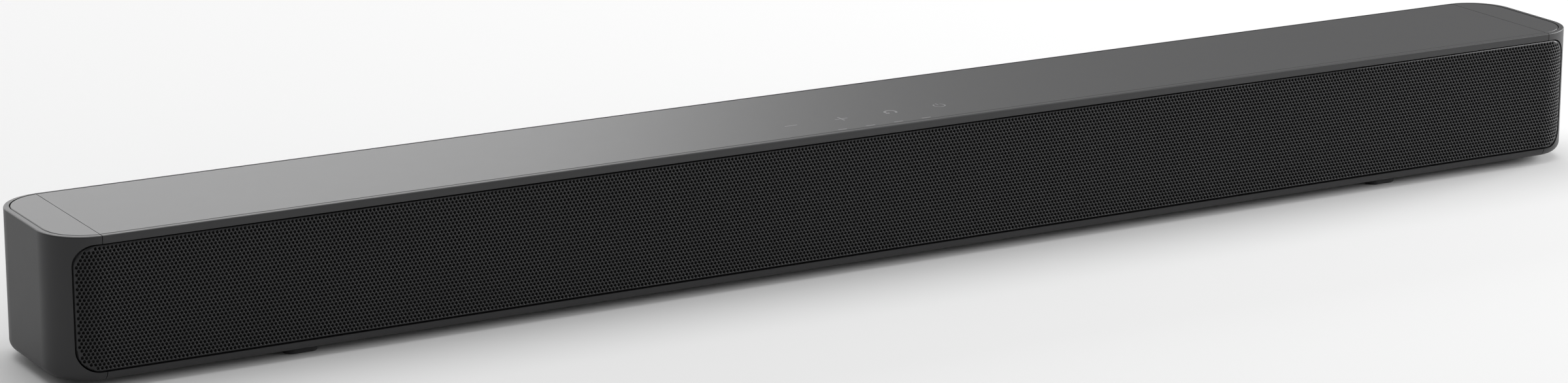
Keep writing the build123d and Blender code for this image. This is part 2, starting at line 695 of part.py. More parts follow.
def power_board():
    part = board(POWER_BOARD, BOARD_BOTTOM)
    places = [(98, 20, 16, 8, 14), (99, -12, 10, 18, 9), (150, -14, 18, 4, 16), (152, 6, 8, 8, 6)]
    for chip in chips(places, BOARD_TOP):
        part += chip
    return part


def power_transformer():
    core = block(112, 140, -8, 14, BOARD_TOP + 3.0, BOARD_TOP + 21.0)
    bobbin = block(115, 137, -11, 17, BOARD_TOP + 0.05, BOARD_TOP + 3.0)
    winding = Pos(126, 3, BOARD_TOP + 12) * Rot(90, 0, 0) * Cylinder(8.4, 27)
    return core + bobbin + winding


def power_capacitors():
    cans = []
    for x, y, radius, height in ((122, 25.5, 7.5, 27), (141, 25.5, 7.5, 27), (128, -18.5, 5.0, 20)):
        can = post(x, y, BOARD_TOP + 0.05, BOARD_TOP + height, radius)
        groove = post(x, y, BOARD_TOP + 2.5, BOARD_TOP + 3.3, radius + 1)
        cans.append(can - (groove - post(x, y, BOARD_TOP, BOARD_TOP + 5, radius - 0.5)))
    return together(cans)


def touch_board():
    part = board(TOUCH_BOARD, TOUCH_BOARD_Z)
    for chip in chips([(0, -17.5, 9, 9, 1.2)], TOUCH_BOARD_Z + BOARD):
        part += chip
    part += block(-7, 7, -26.5, -23.5, TOUCH_BOARD_Z - 2.4, TOUCH_BOARD_Z)
    for x in WINDOW_X:
        part += block(x - 1.5, x + 1.5, -26.8, -25.2, TOUCH_BOARD_Z + BOARD, 60.8)
    return part


def touch_spring(x):
    """Coil of the electrode that presses on the panel, with its top pad."""
    z0 = TOUCH_BOARD_Z + BOARD + 0.05
    height = DECK_TOP - 0.1 - z0
    coil = Helix(pitch=height / 4.5, height=height - 0.9, radius=3.6)
    section = Plane(origin=coil @ 0, z_dir=coil % 0) * Circle(0.35)
    wire = Pos(x, TOUCH_Y, z0 + 0.4) * sweep(section, path=coil, is_frenet=True)
    return wire + post(x, TOUCH_Y, DECK_TOP - 0.9, DECK_TOP - 0.1, 4.2)


def light_guide_slot(x, gap, z0, z1):
    outline = SlotOverall(WINDOW_LENGTH + 2 * gap, WINDOW_WIDTH + 2 * gap)
    return extrude(Pos(x, WINDOW_Y, z0) * outline, z1 - z0)


def light_guide(x):
    """Clear bar from a lamp on the touch board up to its window in the top panel."""
    riser = light_guide_slot(x, 0, GUIDE_BOTTOM, CASE_TOP - 0.02)
    arm = block(x - 1.4, x + 1.4, WINDOW_Y, -25.3, GUIDE_BOTTOM, GUIDE_BOTTOM + 1.4)
    return riser + arm


def ir_receiver():
    """Receiver for the remote control: a plate on the baffle with a round lens."""
    x0, x1 = IR_X - IR_HALF, IR_X + IR_HALF
    z0, z1 = IR_Z - IR_HALF, IR_Z + IR_HALF
    plate_front = BAFFLE_FRONT - 0.9
    plate = block(x0, x1, plate_front, BAFFLE_FRONT - 0.05, z0, z1)
    return plate + rod_y(IR_X, IR_Z, plate_front - 1.5, plate_front + 0.1, IR_LENS_RADIUS)


def ribbon_cable():
    """Flat cable from the main board up to the touch board."""
    points = [(-25.9, BOARD_TOP + 2.65), (-25.9, 30.0), (-24.6, 42.0), (-24.6, TOUCH_BOARD_Z - 2.45)]
    back = [(y + RIBBON_THICKNESS, z) for y, z in reversed(points)]
    profile = Plane.YZ * make_face(Polyline(*(points + back), close=True))
    return Pos(-RIBBON_HALF, 0, 0) * extrude(profile, 2 * RIBBON_HALF)


def speaker_wire(side, y):
    """One wire along the floor and up between two loudspeakers."""
    turn = side * WIRE_TURN_X
    points = [(side * WIRE_START[side], y, WIRE_HEIGHT), (turn, y, WIRE_HEIGHT), (turn, y, WIRE_TOP)]
    path = FilletPolyline(*points, radius=WIRE_BEND)
    section = Plane(origin=points[0], z_dir=(side, 0, 0)) * Circle(WIRE_RADIUS)
    return sweep(section, path=path)


# ---------------------------------------------------------------- fixings and feet
def foot_places():
    return [(x, y) for y in (-FOOT_Y, FOOT_Y) for x in (-FOOT_X, FOOT_X)]


def foot_prism(x, y, margin, z0, z1):
    width, depth = FOOT_SIZE
    outline = RectangleRounded(width + 2 * margin, depth + 2 * margin, FOOT_CORNER + margin)
    return extrude(Pos(x, y, z0) * outline, z1 - z0)


def foot(x, y):
    pad = foot_prism(x, y, 0, 0, FOOT_HEIGHT - FOOT_LAND)
    return fillet(pad.faces().sort_by(Axis.Z)[0].edges(), 0.5)


def wall_insert(x):
    tube = rod_y(x, INSERT_Z, REAR - INSERT_LENGTH, REAR - 0.1, INSERT_RADIUS - 0.05)
    return tube - rod_y(x, INSERT_Z, REAR - INSERT_LENGTH - 1, REAR + 1, INSERT_BORE)


def cap_screw(y, z):
    seat = MIDDLE_HALF - END_WALL
    head = rod_x(y, z, seat - HEAD_HANGS, seat, SCREW_HEAD)
    return head + rod_x(y, z, seat, LENGTH / 2 - 6, SCREW_SHANK)


# ---------------------------------------------------------------- assembly
def build_nodes():
    skin = casing()
    nodes = {
        "upper_housing": upper_housing(skin),
        "lower_housing": lower_housing(skin),
        "end_cap_right": end_cap_right(skin),
    }
    nodes["end_cap_left"] = mirror(nodes["end_cap_right"], Plane.YZ)
    nodes["top_panel"], nodes["top_inlay_right"] = top_plates()
    nodes["top_inlay_left"] = mirror(nodes["top_inlay_right"], Plane.YZ)
    nodes["front_grille"] = front_grille()
    nodes["grille_cloth"] = grille_cloth()
    nodes["grille_frame"] = grille_frame()
    nodes["front_baffle"] = front_baffle()

    for number, x in enumerate(DRIVER_X, start=1):
        nodes[f"driver_frame_{number}"] = driver_frame(x)
        nodes[f"driver_motor_{number}"] = driver_motor(x)
        nodes[f"driver_cone_{number}"] = driver_cone(x)
        nodes[f"driver_surround_{number}"] = driver_surround(x)
        nodes[f"driver_spider_{number}"] = driver_spider(x)
    nodes["driver_gaskets"] = together([driver_gasket(x) for x in DRIVER_X])
    nodes["driver_screws"] = together(
        [driver_screw(x, sx, sz) for x in DRIVER_X for sx, sz in driver_screw_offsets()]
    )
    nodes["bass_port_left"] = bass_port(-PORT_X)
    nodes["bass_port_right"] = bass_port(PORT_X)

    nodes["main_board"] = main_board()
    nodes["wireless_module"] = wireless_module()
    nodes["heatsink"] = heatsink()
    nodes["hdmi_socket"] = hdmi_socket()
    nodes["optical_socket"] = optical_socket()
    nodes["usb_socket"] = usb_socket()
    nodes["aux_socket"] = aux_socket()
    nodes["power_inlet"] = power_inlet()
    nodes["power_board"] = power_board()
    nodes["power_transformer"] = power_transformer()
    nodes["power_capacitors"] = power_capacitors()
    nodes["touch_board"] = touch_board()
    nodes["touch_springs"] = together([touch_spring(x) for x in TOUCH_X])
    nodes["indicator_light_guides"] = together([light_guide(x) for x in WINDOW_X])
    nodes["ir_receiver"] = ir_receiver()
    nodes["ribbon_cable"] = ribbon_cable()
    nodes["speaker_wires"] = together([speaker_wire(side, y) for side in (-1, 1) for y in WIRE_Y])

    names = ["front_left", "front_right", "rear_left", "rear_right"]
    for name, (x, y) in zip(names, foot_places()):
        nodes[f"foot_{name}"] = foot(x, y)
    nodes["wall_inserts"] = together([wall_insert(-INSERT_X), wall_insert(INSERT_X)])
    nodes["case_screws"] = together(
        [screw_up(x, y, SCREW_POCKET_TOP, CASE_SCREW_TIP) for x, y in CASE_SCREWS]
    )
    cap_screws = [cap_screw(y, z) for y, z in CAP_SCREWS]
    nodes["end_cap_screws"] = together(cap_screws + [mirror(screw, Plane.YZ) for screw in cap_screws])
    flat_boards = board_corners(MAIN_BOARD) + board_corners(POWER_BOARD)
    board_screws = [screw_down(x, y, BOARD_TOP, BOARD_TOP - 6) for x, y in flat_boards]
    board_screws += [screw_up(x, y, TOUCH_BOARD_Z, TOUCH_BOARD_Z + 6) for x, y in board_corners(TOUCH_BOARD)]
    nodes["board_screws"] = together(board_screws)
    return nodes


def main():
    os.makedirs("parts", exist_ok=True)
    nodes = build_nodes()
    for name, shape in nodes.items():
        export_step(shape, f"parts/{name}.step")
    print(len(nodes), "nodes written")


main()
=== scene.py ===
"""Looks of the soundbar: perforated grille, cloth, printed icons, materials, floor, lights and camera.

Metres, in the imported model's frame: +Z up, front face towards -Y.
"""

import json
import math

import bmesh
import bpy
import numpy as np
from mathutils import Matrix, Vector
from mathutils.geometry import delaunay_2d_cdt


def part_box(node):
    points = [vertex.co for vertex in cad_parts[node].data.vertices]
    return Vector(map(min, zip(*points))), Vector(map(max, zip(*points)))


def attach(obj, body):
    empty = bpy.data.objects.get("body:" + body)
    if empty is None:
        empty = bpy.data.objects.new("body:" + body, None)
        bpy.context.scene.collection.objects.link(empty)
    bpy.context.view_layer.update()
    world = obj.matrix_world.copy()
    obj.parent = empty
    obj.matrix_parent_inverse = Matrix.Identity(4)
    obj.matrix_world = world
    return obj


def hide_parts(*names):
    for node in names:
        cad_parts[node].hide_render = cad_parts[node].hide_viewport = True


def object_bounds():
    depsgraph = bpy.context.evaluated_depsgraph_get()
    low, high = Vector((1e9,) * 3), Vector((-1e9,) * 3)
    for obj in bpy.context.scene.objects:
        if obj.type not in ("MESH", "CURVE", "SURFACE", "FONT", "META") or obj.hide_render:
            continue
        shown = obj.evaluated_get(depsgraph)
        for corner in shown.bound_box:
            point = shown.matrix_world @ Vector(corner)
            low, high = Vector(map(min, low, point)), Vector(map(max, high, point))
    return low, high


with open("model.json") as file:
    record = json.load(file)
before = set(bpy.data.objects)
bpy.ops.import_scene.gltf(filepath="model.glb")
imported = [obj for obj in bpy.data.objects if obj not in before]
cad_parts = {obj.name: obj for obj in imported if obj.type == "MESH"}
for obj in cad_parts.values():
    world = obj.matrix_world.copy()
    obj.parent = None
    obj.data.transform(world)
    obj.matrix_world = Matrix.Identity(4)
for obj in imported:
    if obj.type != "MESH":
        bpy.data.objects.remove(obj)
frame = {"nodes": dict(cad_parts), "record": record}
cad_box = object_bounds()

MM = 0.001
BODY = "enclosure"

# ---------------------------------------------------------------- places read from the frame
grille_low, grille_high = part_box("front_grille")
panel_low, panel_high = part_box("top_panel")
HALF_LENGTH = cad_box[1].x
FRONT_Y = cad_box[0].y
TOP_Z = panel_high.z

# ---------------------------------------------------------------- grille
CORNER_RADIUS = 21.5 * MM
RECESS = grille_low.y - FRONT_Y
WRAP_RADIUS = CORNER_RADIUS - RECESS
FLAT_HALF = HALF_LENGTH - CORNER_RADIUS
GRILLE_CORNER = 8.9 * MM
SHEET = 0.8 * MM
PITCH = 1.8 * MM
ROW = PITCH * math.sqrt(3) / 2
ROWS = 34
HOLE_RADIUS = 0.61 * MM
LIP_WIDTH = 0.25 * MM
LIP_DEPTH = 0.25 * MM
HOLE_SIDES = 8
CELL_MARGIN = 0.2 * MM
HOLE_MARGIN = 0.3 * MM
CORNER_STEPS = 14
GRILLE_PIECES = 6
CLOTH_DEPTH = 0.95 * MM
CLOTH_INSET = 1.2 * MM
CLOTH_COLUMNS = 160
CLOTH_ROWS = 9


def run_to_x(run):
    """How far along X the wrapped sheet has come after a run along its outer face."""
    over = np.clip(np.abs(run) - FLAT_HALF, 0, None)
    return np.sign(run) * (np.minimum(np.abs(run), FLAT_HALF) + WRAP_RADIUS * np.sin(over / WRAP_RADIUS))


def x_to_run(x):
    over = np.clip(np.abs(x) - FLAT_HALF, 0, None)
    return np.sign(x) * (np.minimum(np.abs(x), FLAT_HALF) + WRAP_RADIUS * np.arcsin(over / WRAP_RADIUS))


def wrapped(run, z, depth):
    """Points on the wrapped front, a depth behind the grille's outer face."""
    over = np.clip(np.abs(run) - FLAT_HALF, 0, None) / WRAP_RADIUS
    radius = WRAP_RADIUS - depth
    x = np.sign(run) * (np.minimum(np.abs(run), FLAT_HALF) + radius * np.sin(over))
    y = FRONT_Y + CORNER_RADIUS - radius * np.cos(over)
    return np.stack([x, y, z], axis=1)


def outside(run, z, inset=0.0):
    """Signed distance from the grille's round-cornered outline, negative inside it."""
    middle = (grille_low.z + grille_high.z) / 2
    corner = GRILLE_CORNER - inset
    dx = np.abs(run_to_x(run)) - (grille_high.x - inset - corner)
    dz = np.abs(z - middle) - ((grille_high.z - grille_low.z) / 2 - inset - corner)
    far = np.hypot(np.clip(dx, 0, None), np.clip(dz, 0, None))
    return far + np.minimum(np.maximum(dx, dz), 0) - corner


def outline(inset=0.0):
    """The grille's outline as (run, z) points."""
    corner = GRILLE_CORNER - inset
    x = grille_high.x - inset - corner
    z0 = grille_low.z + inset + corner
    z1 = grille_high.z - inset - corner
    points = []
    for centre_x, centre_z, start in ((x, z1, 0), (-x, z1, 90), (-x, z0, 180), (x, z0, 270)):
        for step in range(CORNER_STEPS + 1):
            angle = math.radians(start + 90 * step / CORNER_STEPS)
            points.append((centre_x + corner * math.cos(angle), centre_z + corner * math.sin(angle)))
    points = np.array(points)
    points[:, 0] = x_to_run(points[:, 0])
    return points


def ring(sides, radius, turn):
    angles = turn + 2 * math.pi * np.arange(sides) / sides
    return np.stack([np.cos(angles), np.sin(angles)], axis=1) * radius


def turning(corners):
    """Angle of each corner of a ring about its centre, rising round to the first corner again."""
    closed = np.vstack([corners, corners[:1]])
    return np.unwrap(np.arctan2(closed[:, 1], closed[:, 0]))


def bridge(outer, inner):
    """Triangles between two rings about one centre, as ("o" or "i", index) corners."""
    steps_out, steps_in = len(outer), len(inner)
    angle_out, angle_in = turning(outer), turning(inner)
    o, i, faces = 0, 0, []
    while o < steps_out or i < steps_in:
        next_out = angle_out[o + 1] if o < steps_out else math.inf
        next_in = angle_in[i + 1] if i < steps_in else math.inf
        if next_out <= next_in:
            faces.append((("o", o), ("o", (o + 1) % steps_out), ("i", i % steps_in)))
            o += 1
        else:
            faces.append((("o", o % steps_out), ("i", (i + 1) % steps_in), ("i", i)))
            i += 1
    return faces


HEX = ring(6, PITCH / math.sqrt(3), math.radians(90))
LIP = ring(HOLE_SIDES, HOLE_RADIUS + LIP_WIDTH, math.radians(180 / HOLE_SIDES))
HALFWAY = 1 - math.sqrt(0.5)
ROUND = ring(HOLE_SIDES, HOLE_RADIUS + HALFWAY * LIP_WIDTH, math.radians(180 / HOLE_SIDES))
BORE = ring(HOLE_SIDES, HOLE_RADIUS, math.radians(180 / HOLE_SIDES))


def hole_centres():
    """Centres of the staggered holes, and which of them have their whole cell on the sheet."""
    middle = (grille_low.z + grille_high.z) / 2
    columns = int(x_to_run(np.array([grille_high.x]))[0] / PITCH) + 2
    centres = []
    for row in range(ROWS):
        z = middle + (row - (ROWS - 1) / 2) * ROW
        shift = 0.5 * (row % 2)
        centres += [((column + shift) * PITCH, z) for column in range(-columns, columns)]
    centres = np.array(centres)
    corners = centres[:, None, :] + HEX[None, :, :]
    room = outside(corners[..., 0], corners[..., 1]).max(axis=1)
    whole = room < -CELL_MARGIN
    edge = ~whole & (outside(centres[:, 0], centres[:, 1]) < -(HOLE_RADIUS + LIP_WIDTH + HOLE_MARGIN))
    return centres[whole], centres[edge]


def cell_index(points):
    """Keys of the hexagonal cells that hold some points."""
    middle = (grille_low.z + grille_high.z) / 2
    best, keys = np.full(len(points), np.inf), np.zeros((len(points), 2), int)
    guess = np.floor((points[:, 1] - middle) / ROW + (ROWS - 1) / 2).astype(int)
    for row in (guess, guess + 1):
        shift = 0.5 * (row % 2)
        column = np.round(points[:, 0] / PITCH - shift).astype(int)
        dx = points[:, 0] - (column + shift) * PITCH
        dz = points[:, 1] - middle - (row - (ROWS - 1) / 2) * ROW
        closer = np.hypot(dx, dz) < best
        best = np.where(closer, np.hypot(dx, dz), best)
        keys[closer] = np.stack([column, row], axis=1)[closer]
    return keys


def border_faces(whole, edge):
    """The sheet's plain border, between the outline, the whole cells and the holes near the edge."""
    corners = (whole[:, None, :] + HEX[None, :, :]).reshape(-1, 2)
    rounded = np.round(corners / (0.01 * MM)).astype(int)
    _, first, named = np.unique(rounded, axis=0, return_index=True, return_inverse=True)
    named = named.reshape(-1, 6)
    sides = []
    for cell in named:
        sides += [(int(cell[k]), int(cell[(k + 1) % 6])) for k in range(6)]
    known = set(sides)
    loose = [(start, end) for start, end in dict.fromkeys(sides) if (end, start) not in known]
    used = sorted({point for side in loose for point in side})
    place = {point: number for number, point in enumerate(used)}
    points = [tuple(corners[first[point]]) for point in used]
    edges = [(place[a], place[b]) for a, b in loose]
    loops = [outline()] + [centre + LIP for centre in edge]
    for loop in loops:
        start = len(points)
        points += [tuple(point) for point in loop]
        edges += [(start + k, start + (k + 1) % len(loop)) for k in range(len(loop))]
    scaled = [Vector((x / MM, z / MM)) for x, z in points]
    made, _, triangles, *_ = delaunay_2d_cdt(scaled, edges, [], 0, 1e-6)
    made = np.array([(v.x, v.y) for v in made]) * MM
    triangles = np.array([t for t in triangles if len(t) == 3])
    middles = made[triangles].mean(axis=1)
    keys = cell_index(middles)
    whole_keys = {tuple(key) for key in cell_index(whole)}
    keep = np.array([tuple(key) not in whole_keys for key in keys])
    keep &= outside(middles[:, 0], middles[:, 1]) < 0
    for centre in edge:
        near = np.hypot(*(middles - centre).T) < (HOLE_RADIUS + LIP_WIDTH) * math.cos(math.pi / HOLE_SIDES)
        keep &= ~near
    return made, triangles[keep]


def add_mesh(name, points, faces, smooth=True):
    mesh = bpy.data.meshes.new(name)
    mesh.from_pydata([tuple(p) for p in points], [], [tuple(f) for f in faces])
    mesh.validate()
    work = bmesh.new()
    work.from_mesh(mesh)
    bmesh.ops.remove_doubles(work, verts=work.verts, dist=0.002 * MM)
    work.to_mesh(mesh)
    work.free()
    mesh.polygons.foreach_set("use_smooth", [smooth] * len(mesh.polygons))
    piece = bpy.data.objects.new(name, mesh)
    bpy.context.collection.objects.link(piece)
    return piece


def hole_walls(centres, start):
    """The rounded lip and the wall of every hole: (run, z, depth) points and faces."""
    rings = [(LIP, 0.0), (ROUND, HALFWAY * LIP_DEPTH), (BORE, LIP_DEPTH), (BORE, SHEET)]
    points, faces = [], []
    for offset, depth in rings:
        spread = (centres[:, None, :] + offset[None, :, :]).reshape(-1, 2)
        points.append(np.column_stack([spread, np.full(len(spread), depth)]))
    count = len(centres) * HOLE_SIDES
    base = np.arange(len(centres)) * HOLE_SIDES
    for level in range(len(rings) - 1):
        for k in range(HOLE_SIDES):
            a = start + level * count + base + k
            b = start + level * count + base + (k + 1) % HOLE_SIDES
            faces.append(np.column_stack([a, b, b + count, a + count]))
    return np.vstack(points), np.vstack(faces)


def grille_section(number, whole, edge, border):
    """One of the side-by-side pieces that make up the perforated sheet."""
    limit = x_to_run(np.array([grille_high.x]))[0]
    low = -limit + 2 * limit * number / GRILLE_PIECES
    high = low + 2 * limit / GRILLE_PIECES
    low, high = (-1 if number == 0 else low), (1 if number == GRILLE_PIECES - 1 else high)
    mine = whole[(whole[:, 0] >= low) & (whole[:, 0] < high)]
    near = edge[(edge[:, 0] >= low) & (edge[:, 0] < high)]
    points, faces = [], []

    corner = (mine[:, None, :] + HEX[None, :, :]).reshape(-1, 2)
    lip = (mine[:, None, :] + LIP[None, :, :]).reshape(-1, 2)
    points.append(np.column_stack([corner, np.zeros(len(corner))]))
    points.append(np.column_stack([lip, np.zeros(len(lip))]))
    base = {"o": np.arange(len(mine)) * 6, "i": len(corner) + np.arange(len(mine)) * HOLE_SIDES}
    for triangle in bridge(HEX, LIP):
        faces.append(np.column_stack([base[kind] + k for kind, k in triangle]))
    total = len(corner) + len(lip)

    made, triangles = border
    middle = made[triangles].mean(axis=1)[:, 0]
    own = triangles[(middle >= low) & (middle < high)]
    faces.append(own + total)
    points.append(np.column_stack([made, np.zeros(len(made))]))
    total += len(made)

    walls, wall_faces = hole_walls(np.vstack([mine, near]), total)
    points.append(walls)
    total += len(walls)

    painted_lit_rim = outline()
    turn = np.arange(len(painted_lit_rim))
    after = (turn + 1) % len(painted_lit_rim)
    middle = (painted_lit_rim[turn, 0] + painted_lit_rim[after, 0]) / 2
    points.append(np.column_stack([painted_lit_rim, np.zeros(len(painted_lit_rim))]))
    points.append(np.column_stack([painted_lit_rim, np.full(len(painted_lit_rim), SHEET)]))
    ends = (middle >= low) & (middle < high)
    rim_faces = np.column_stack([turn, turn + len(painted_lit_rim), after + len(painted_lit_rim), after])[ends] + total

    flat = np.vstack(points)
    every = [tuple(f) for group in faces for f in group]
    every += [tuple(f) for f in wall_faces] + [tuple(f) for f in rim_faces]
    used = np.unique(np.concatenate([np.array(f) for f in every]))
    renumber = np.zeros(len(flat), int)
    renumber[used] = np.arange(len(used))
    placed = wrapped(flat[used, 0], flat[used, 1], flat[used, 2])
    return add_mesh(f"grille_sheet_{number + 1}", placed, [tuple(renumber[list(f)]) for f in every])


def perforated_grille():
    whole, edge = hole_centres()
    border = border_faces(whole, edge)
    sections = [grille_section(number, whole, edge, border) for number in range(GRILLE_PIECES)]
    for section in sections:
        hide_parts("front_grille")
        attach(section, BODY)
    return sections


def wrapped_cloth():
    """The woven sheet stretched behind the grille, as a fine strip that follows the same wrap."""
    border = outline(CLOTH_INSET)
    low_z, high_z = border[:, 1].min(), border[:, 1].max()
    half_run = border[:, 0].max()
    turn = np.linspace(0, 1, CORNER_STEPS)
    bend = FLAT_HALF + (half_run - FLAT_HALF) * turn
    flat = np.linspace(-FLAT_HALF, FLAT_HALF, CLOTH_COLUMNS)[1:-1]
    runs = np.concatenate([-bend[::-1], flat, bend])
    levels = np.linspace(0, 1, CLOTH_ROWS)
    points, faces = [], []
    for run in runs:
        height = cloth_half_height(run, low_z, high_z)
        middle = (low_z + high_z) / 2
        points += [(run, middle + (2 * level - 1) * height) for level in levels]
    for column in range(len(runs) - 1):
        for row in range(CLOTH_ROWS - 1):
            a = column * CLOTH_ROWS + row
            faces.append((a, a + CLOTH_ROWS, a + CLOTH_ROWS + 1, a + 1))
    points = np.array(points)
    cloth = add_mesh("cloth_sheet", wrapped(points[:, 0], points[:, 1], CLOTH_DEPTH), faces)
    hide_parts("grille_cloth")
    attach(cloth, BODY)
    return cloth


def cloth_half_height(run, low_z, high_z):
    """Half the height of the cloth's outline at a run, smaller in its rounded corners."""
    corner = GRILLE_CORNER - CLOTH_INSET
    x = float(abs(run_to_x(np.array([run]))[0]))
    over = max(0.0, x - (grille_high.x - CLOTH_INSET - corner))
    return (high_z - low_z) / 2 - corner + math.sqrt(max(corner**2 - over**2, 0.0))


# ---------------------------------------------------------------- printed icons
TOUCH_X = [-39.4 * MM, -13.1 * MM, 13.1 * MM, 39.4 * MM]
TOUCH_Y = -17.5 * MM
ICON_SIZE = 3.3 * MM
INK_WIDTH = 0.72 * MM
BOLD_INK = 1.15 * MM
INK_HEIGHT = 0.04 * MM
ARC_STEPS = 40


def arc(radius, start, end, steps=ARC_STEPS):
    angles = np.radians(np.linspace(start, end, steps + 1))
    return [(radius * math.cos(a), radius * math.sin(a)) for a in angles]


def stroke(path, width):
    """Outline of a pen stroke along a path, with square ends."""
    path = np.array(path)
    ahead = np.gradient(path, axis=0)
    ahead /= np.linalg.norm(ahead, axis=1)[:, None]
    side = np.stack([-ahead[:, 1], ahead[:, 0]], axis=1) * width / 2
    return [tuple(p) for p in np.vstack([path + side, (path - side)[::-1]])]


def bar(x0, y0, x1, y1):
    return stroke([(x0, y0), (x1, y1)], INK_WIDTH)


def icon_outlines():
    """Minus, plus, source and power, each as a list of filled outlines about its own centre."""
    size = ICON_SIZE
    turn = size * 0.82
    head = size * 0.5
    tip = math.radians(205)
    at = np.array([math.cos(tip), math.sin(tip)]) * turn
    along = np.array([math.sin(tip), -math.cos(tip)])
    across = np.array([math.cos(tip), math.sin(tip)])
    arrow = [tuple(at - along * head), tuple(at + across * head), tuple(at - across * head)]
    minus = [bar(-size, 0, size, 0)]
    plus = [bar(-size, 0, -INK_WIDTH / 2, 0), bar(INK_WIDTH / 2, 0, size, 0), bar(0, -size, 0, size)]
    source = [stroke(arc(turn, 205, -60), BOLD_INK), arrow]
    power = [stroke(arc(turn, 125, 415), INK_WIDTH), bar(0, size * 0.25, 0, size * 1.1)]
    return {"minus": minus, "plus": plus, "source": source, "power": power}


def raised_print(name, outlines, x, y):
    """Ink: thin filled outlines that stand on the top panel."""
    work = bmesh.new()
    for shape in outlines:
        low = [work.verts.new((x + px, y + py, TOP_Z - INK_HEIGHT)) for px, py in shape]
        high = [work.verts.new((x + px, y + py, TOP_Z + INK_HEIGHT)) for px, py in shape]
        work.faces.new(high)
        for k in range(len(shape)):
            after = (k + 1) % len(shape)
            work.faces.new((low[k], low[after], high[after], high[k]))
    bmesh.ops.recalc_face_normals(work, faces=work.faces)
    bmesh.ops.triangulate(work, faces=[f for f in work.faces if len(f.verts) > 4])
    mesh = bpy.data.meshes.new(name)
    work.to_mesh(mesh)
    work.free()
    piece = bpy.data.objects.new(name, mesh)
    bpy.context.collection.objects.link(piece)
    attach(piece, BODY)
    return piece


def printed_icons():
    pieces = []
    for (name, outlines), x in zip(icon_outlines().items(), TOUCH_X):
        pieces.append(raised_print(f"icon_{name}", outlines, x, TOUCH_Y))
    return pieces


# ---------------------------------------------------------------- materials
class Tree:
    """A material's node tree, with short calls for the nodes used here."""

    def __init__(self, name, colour, roughness, **sockets):
        self.material = bpy.data.materials.new(name)
        self.material.use_nodes = True
        self.nodes = self.material.node_tree.nodes
        self.links = self.material.node_tree.links
        self.shader = self.nodes["Principled BSDF"]
        self.set("Base Color", (*colour, 1))
        self.set("Roughness", roughness)
        for socket, value in sockets.items():
            self.set(socket.replace("_", " "), value)
        self.coordinates = self.nodes.new("ShaderNodeTexCoord")

    def set(self, socket, value):
        self.shader.inputs[socket].default_value = value

    def link(self, output, socket):
        self.links.new(output, self.shader.inputs[socket])

    def feed(self, node, inputs):
        for socket, value in inputs.items():
            if isinstance(value, bpy.types.NodeSocket):
                self.links.new(value, node.inputs[socket])
            else:
                node.inputs[socket].default_value = value

    def place(self, stretch=(1, 1, 1), source="Object"):
        """Coordinates in metres, stretched along an axis where a grain runs."""
        node = self.nodes.new("ShaderNodeMapping")
        self.feed(node, {"Vector": self.coordinates.outputs[source], "Scale": stretch})
        return node.outputs["Vector"]

    def noise(self, scale, detail=3.0, stretch=(1, 1, 1)):
        node = self.nodes.new("ShaderNodeTexNoise")
        self.feed(node, {"Vector": self.place(stretch), "Scale": scale, "Detail": detail})
        return node.outputs["Fac"]

    def wave(self, scale, axis, distortion=0.0):
        node = self.nodes.new("ShaderNodeTexWave")
        node.bands_direction = axis
        self.feed(node, {"Vector": self.place(), "Scale": scale, "Distortion": distortion})
        return node.outputs["Fac"]

    def math(self, operation, a, b=0.0):
        node = self.nodes.new("ShaderNodeMath")
        node.operation = operation
        self.feed(node, {0: a, 1: b})
        return node.outputs[0]

    def spread(self, value, low, high):
        """A 0 to 1 value moved to the range low to high."""
        node = self.nodes.new("ShaderNodeMapRange")
        self.feed(node, {"Value": value, "To Min": low, "To Max": high})
        return node.outputs["Result"]

    def blend(self, factor, first, second):
        node = self.nodes.new("ShaderNodeMix")
        node.data_type = "RGBA"
        colours = [c if isinstance(c, bpy.types.NodeSocket) else (*c, 1) for c in (first, second)]
        self.feed(node, {0: factor, 6: colours[0], 7: colours[1]})
        return node.outputs[2]

    def axis(self, name, source="Object"):
        node = self.nodes.new("ShaderNodeSeparateXYZ")
        self.feed(node, {"Vector": self.coordinates.outputs[source]})
        return node.outputs[name]

    def between(self, value, low, high):
        above = self.math("GREATER_THAN", value, low)
        return self.math("MULTIPLY", above, self.math("LESS_THAN", value, high))

    def bump(self, height, distance, strength=1.0):
        node = self.nodes.new("ShaderNodeBump")
        self.feed(node, {"Height": height, "Distance": distance, "Strength": strength})
        self.link(node.outputs["Normal"], "Normal")


CLOUD_SCALE = 35.0
SMEAR_SCALE = 90.0
BLACK = (0.012, 0.012, 0.013)
CASING = (0.015, 0.015, 0.016)
# The top panel's own grey. It is also used as a painted highlight on the casing's top rim.
TOP_GREY = (0.050, 0.050, 0.051)
GRILLE_BLACK = (0.016, 0.016, 0.017)
CHIP = (0.018, 0.018, 0.020)
TIN = (0.55, 0.55, 0.57)
DULL_TIN = (0.5, 0.5, 0.51)
BRIGHT_TIN = (0.68, 0.68, 0.69)
RIM_DEPTH = 0.25 * MM
INLET_X = 50.0 * MM
INLET_Z = 17.5 * MM
PIN_SPREAD = 4.3 * MM
PIN_RADIUS = 1.25 * MM
PIN_FRONT = 13.0 * MM
BOARD_TOP = 11.6 * MM
TOUCH_BOARD_TOP = 57.6 * MM
BOARD_SHEET = 1.6 * MM
WIRE_MIDDLE_Y = -9.1 * MM


def shade(colour, factor):
    return tuple(min(1.0, c * factor) for c in colour)


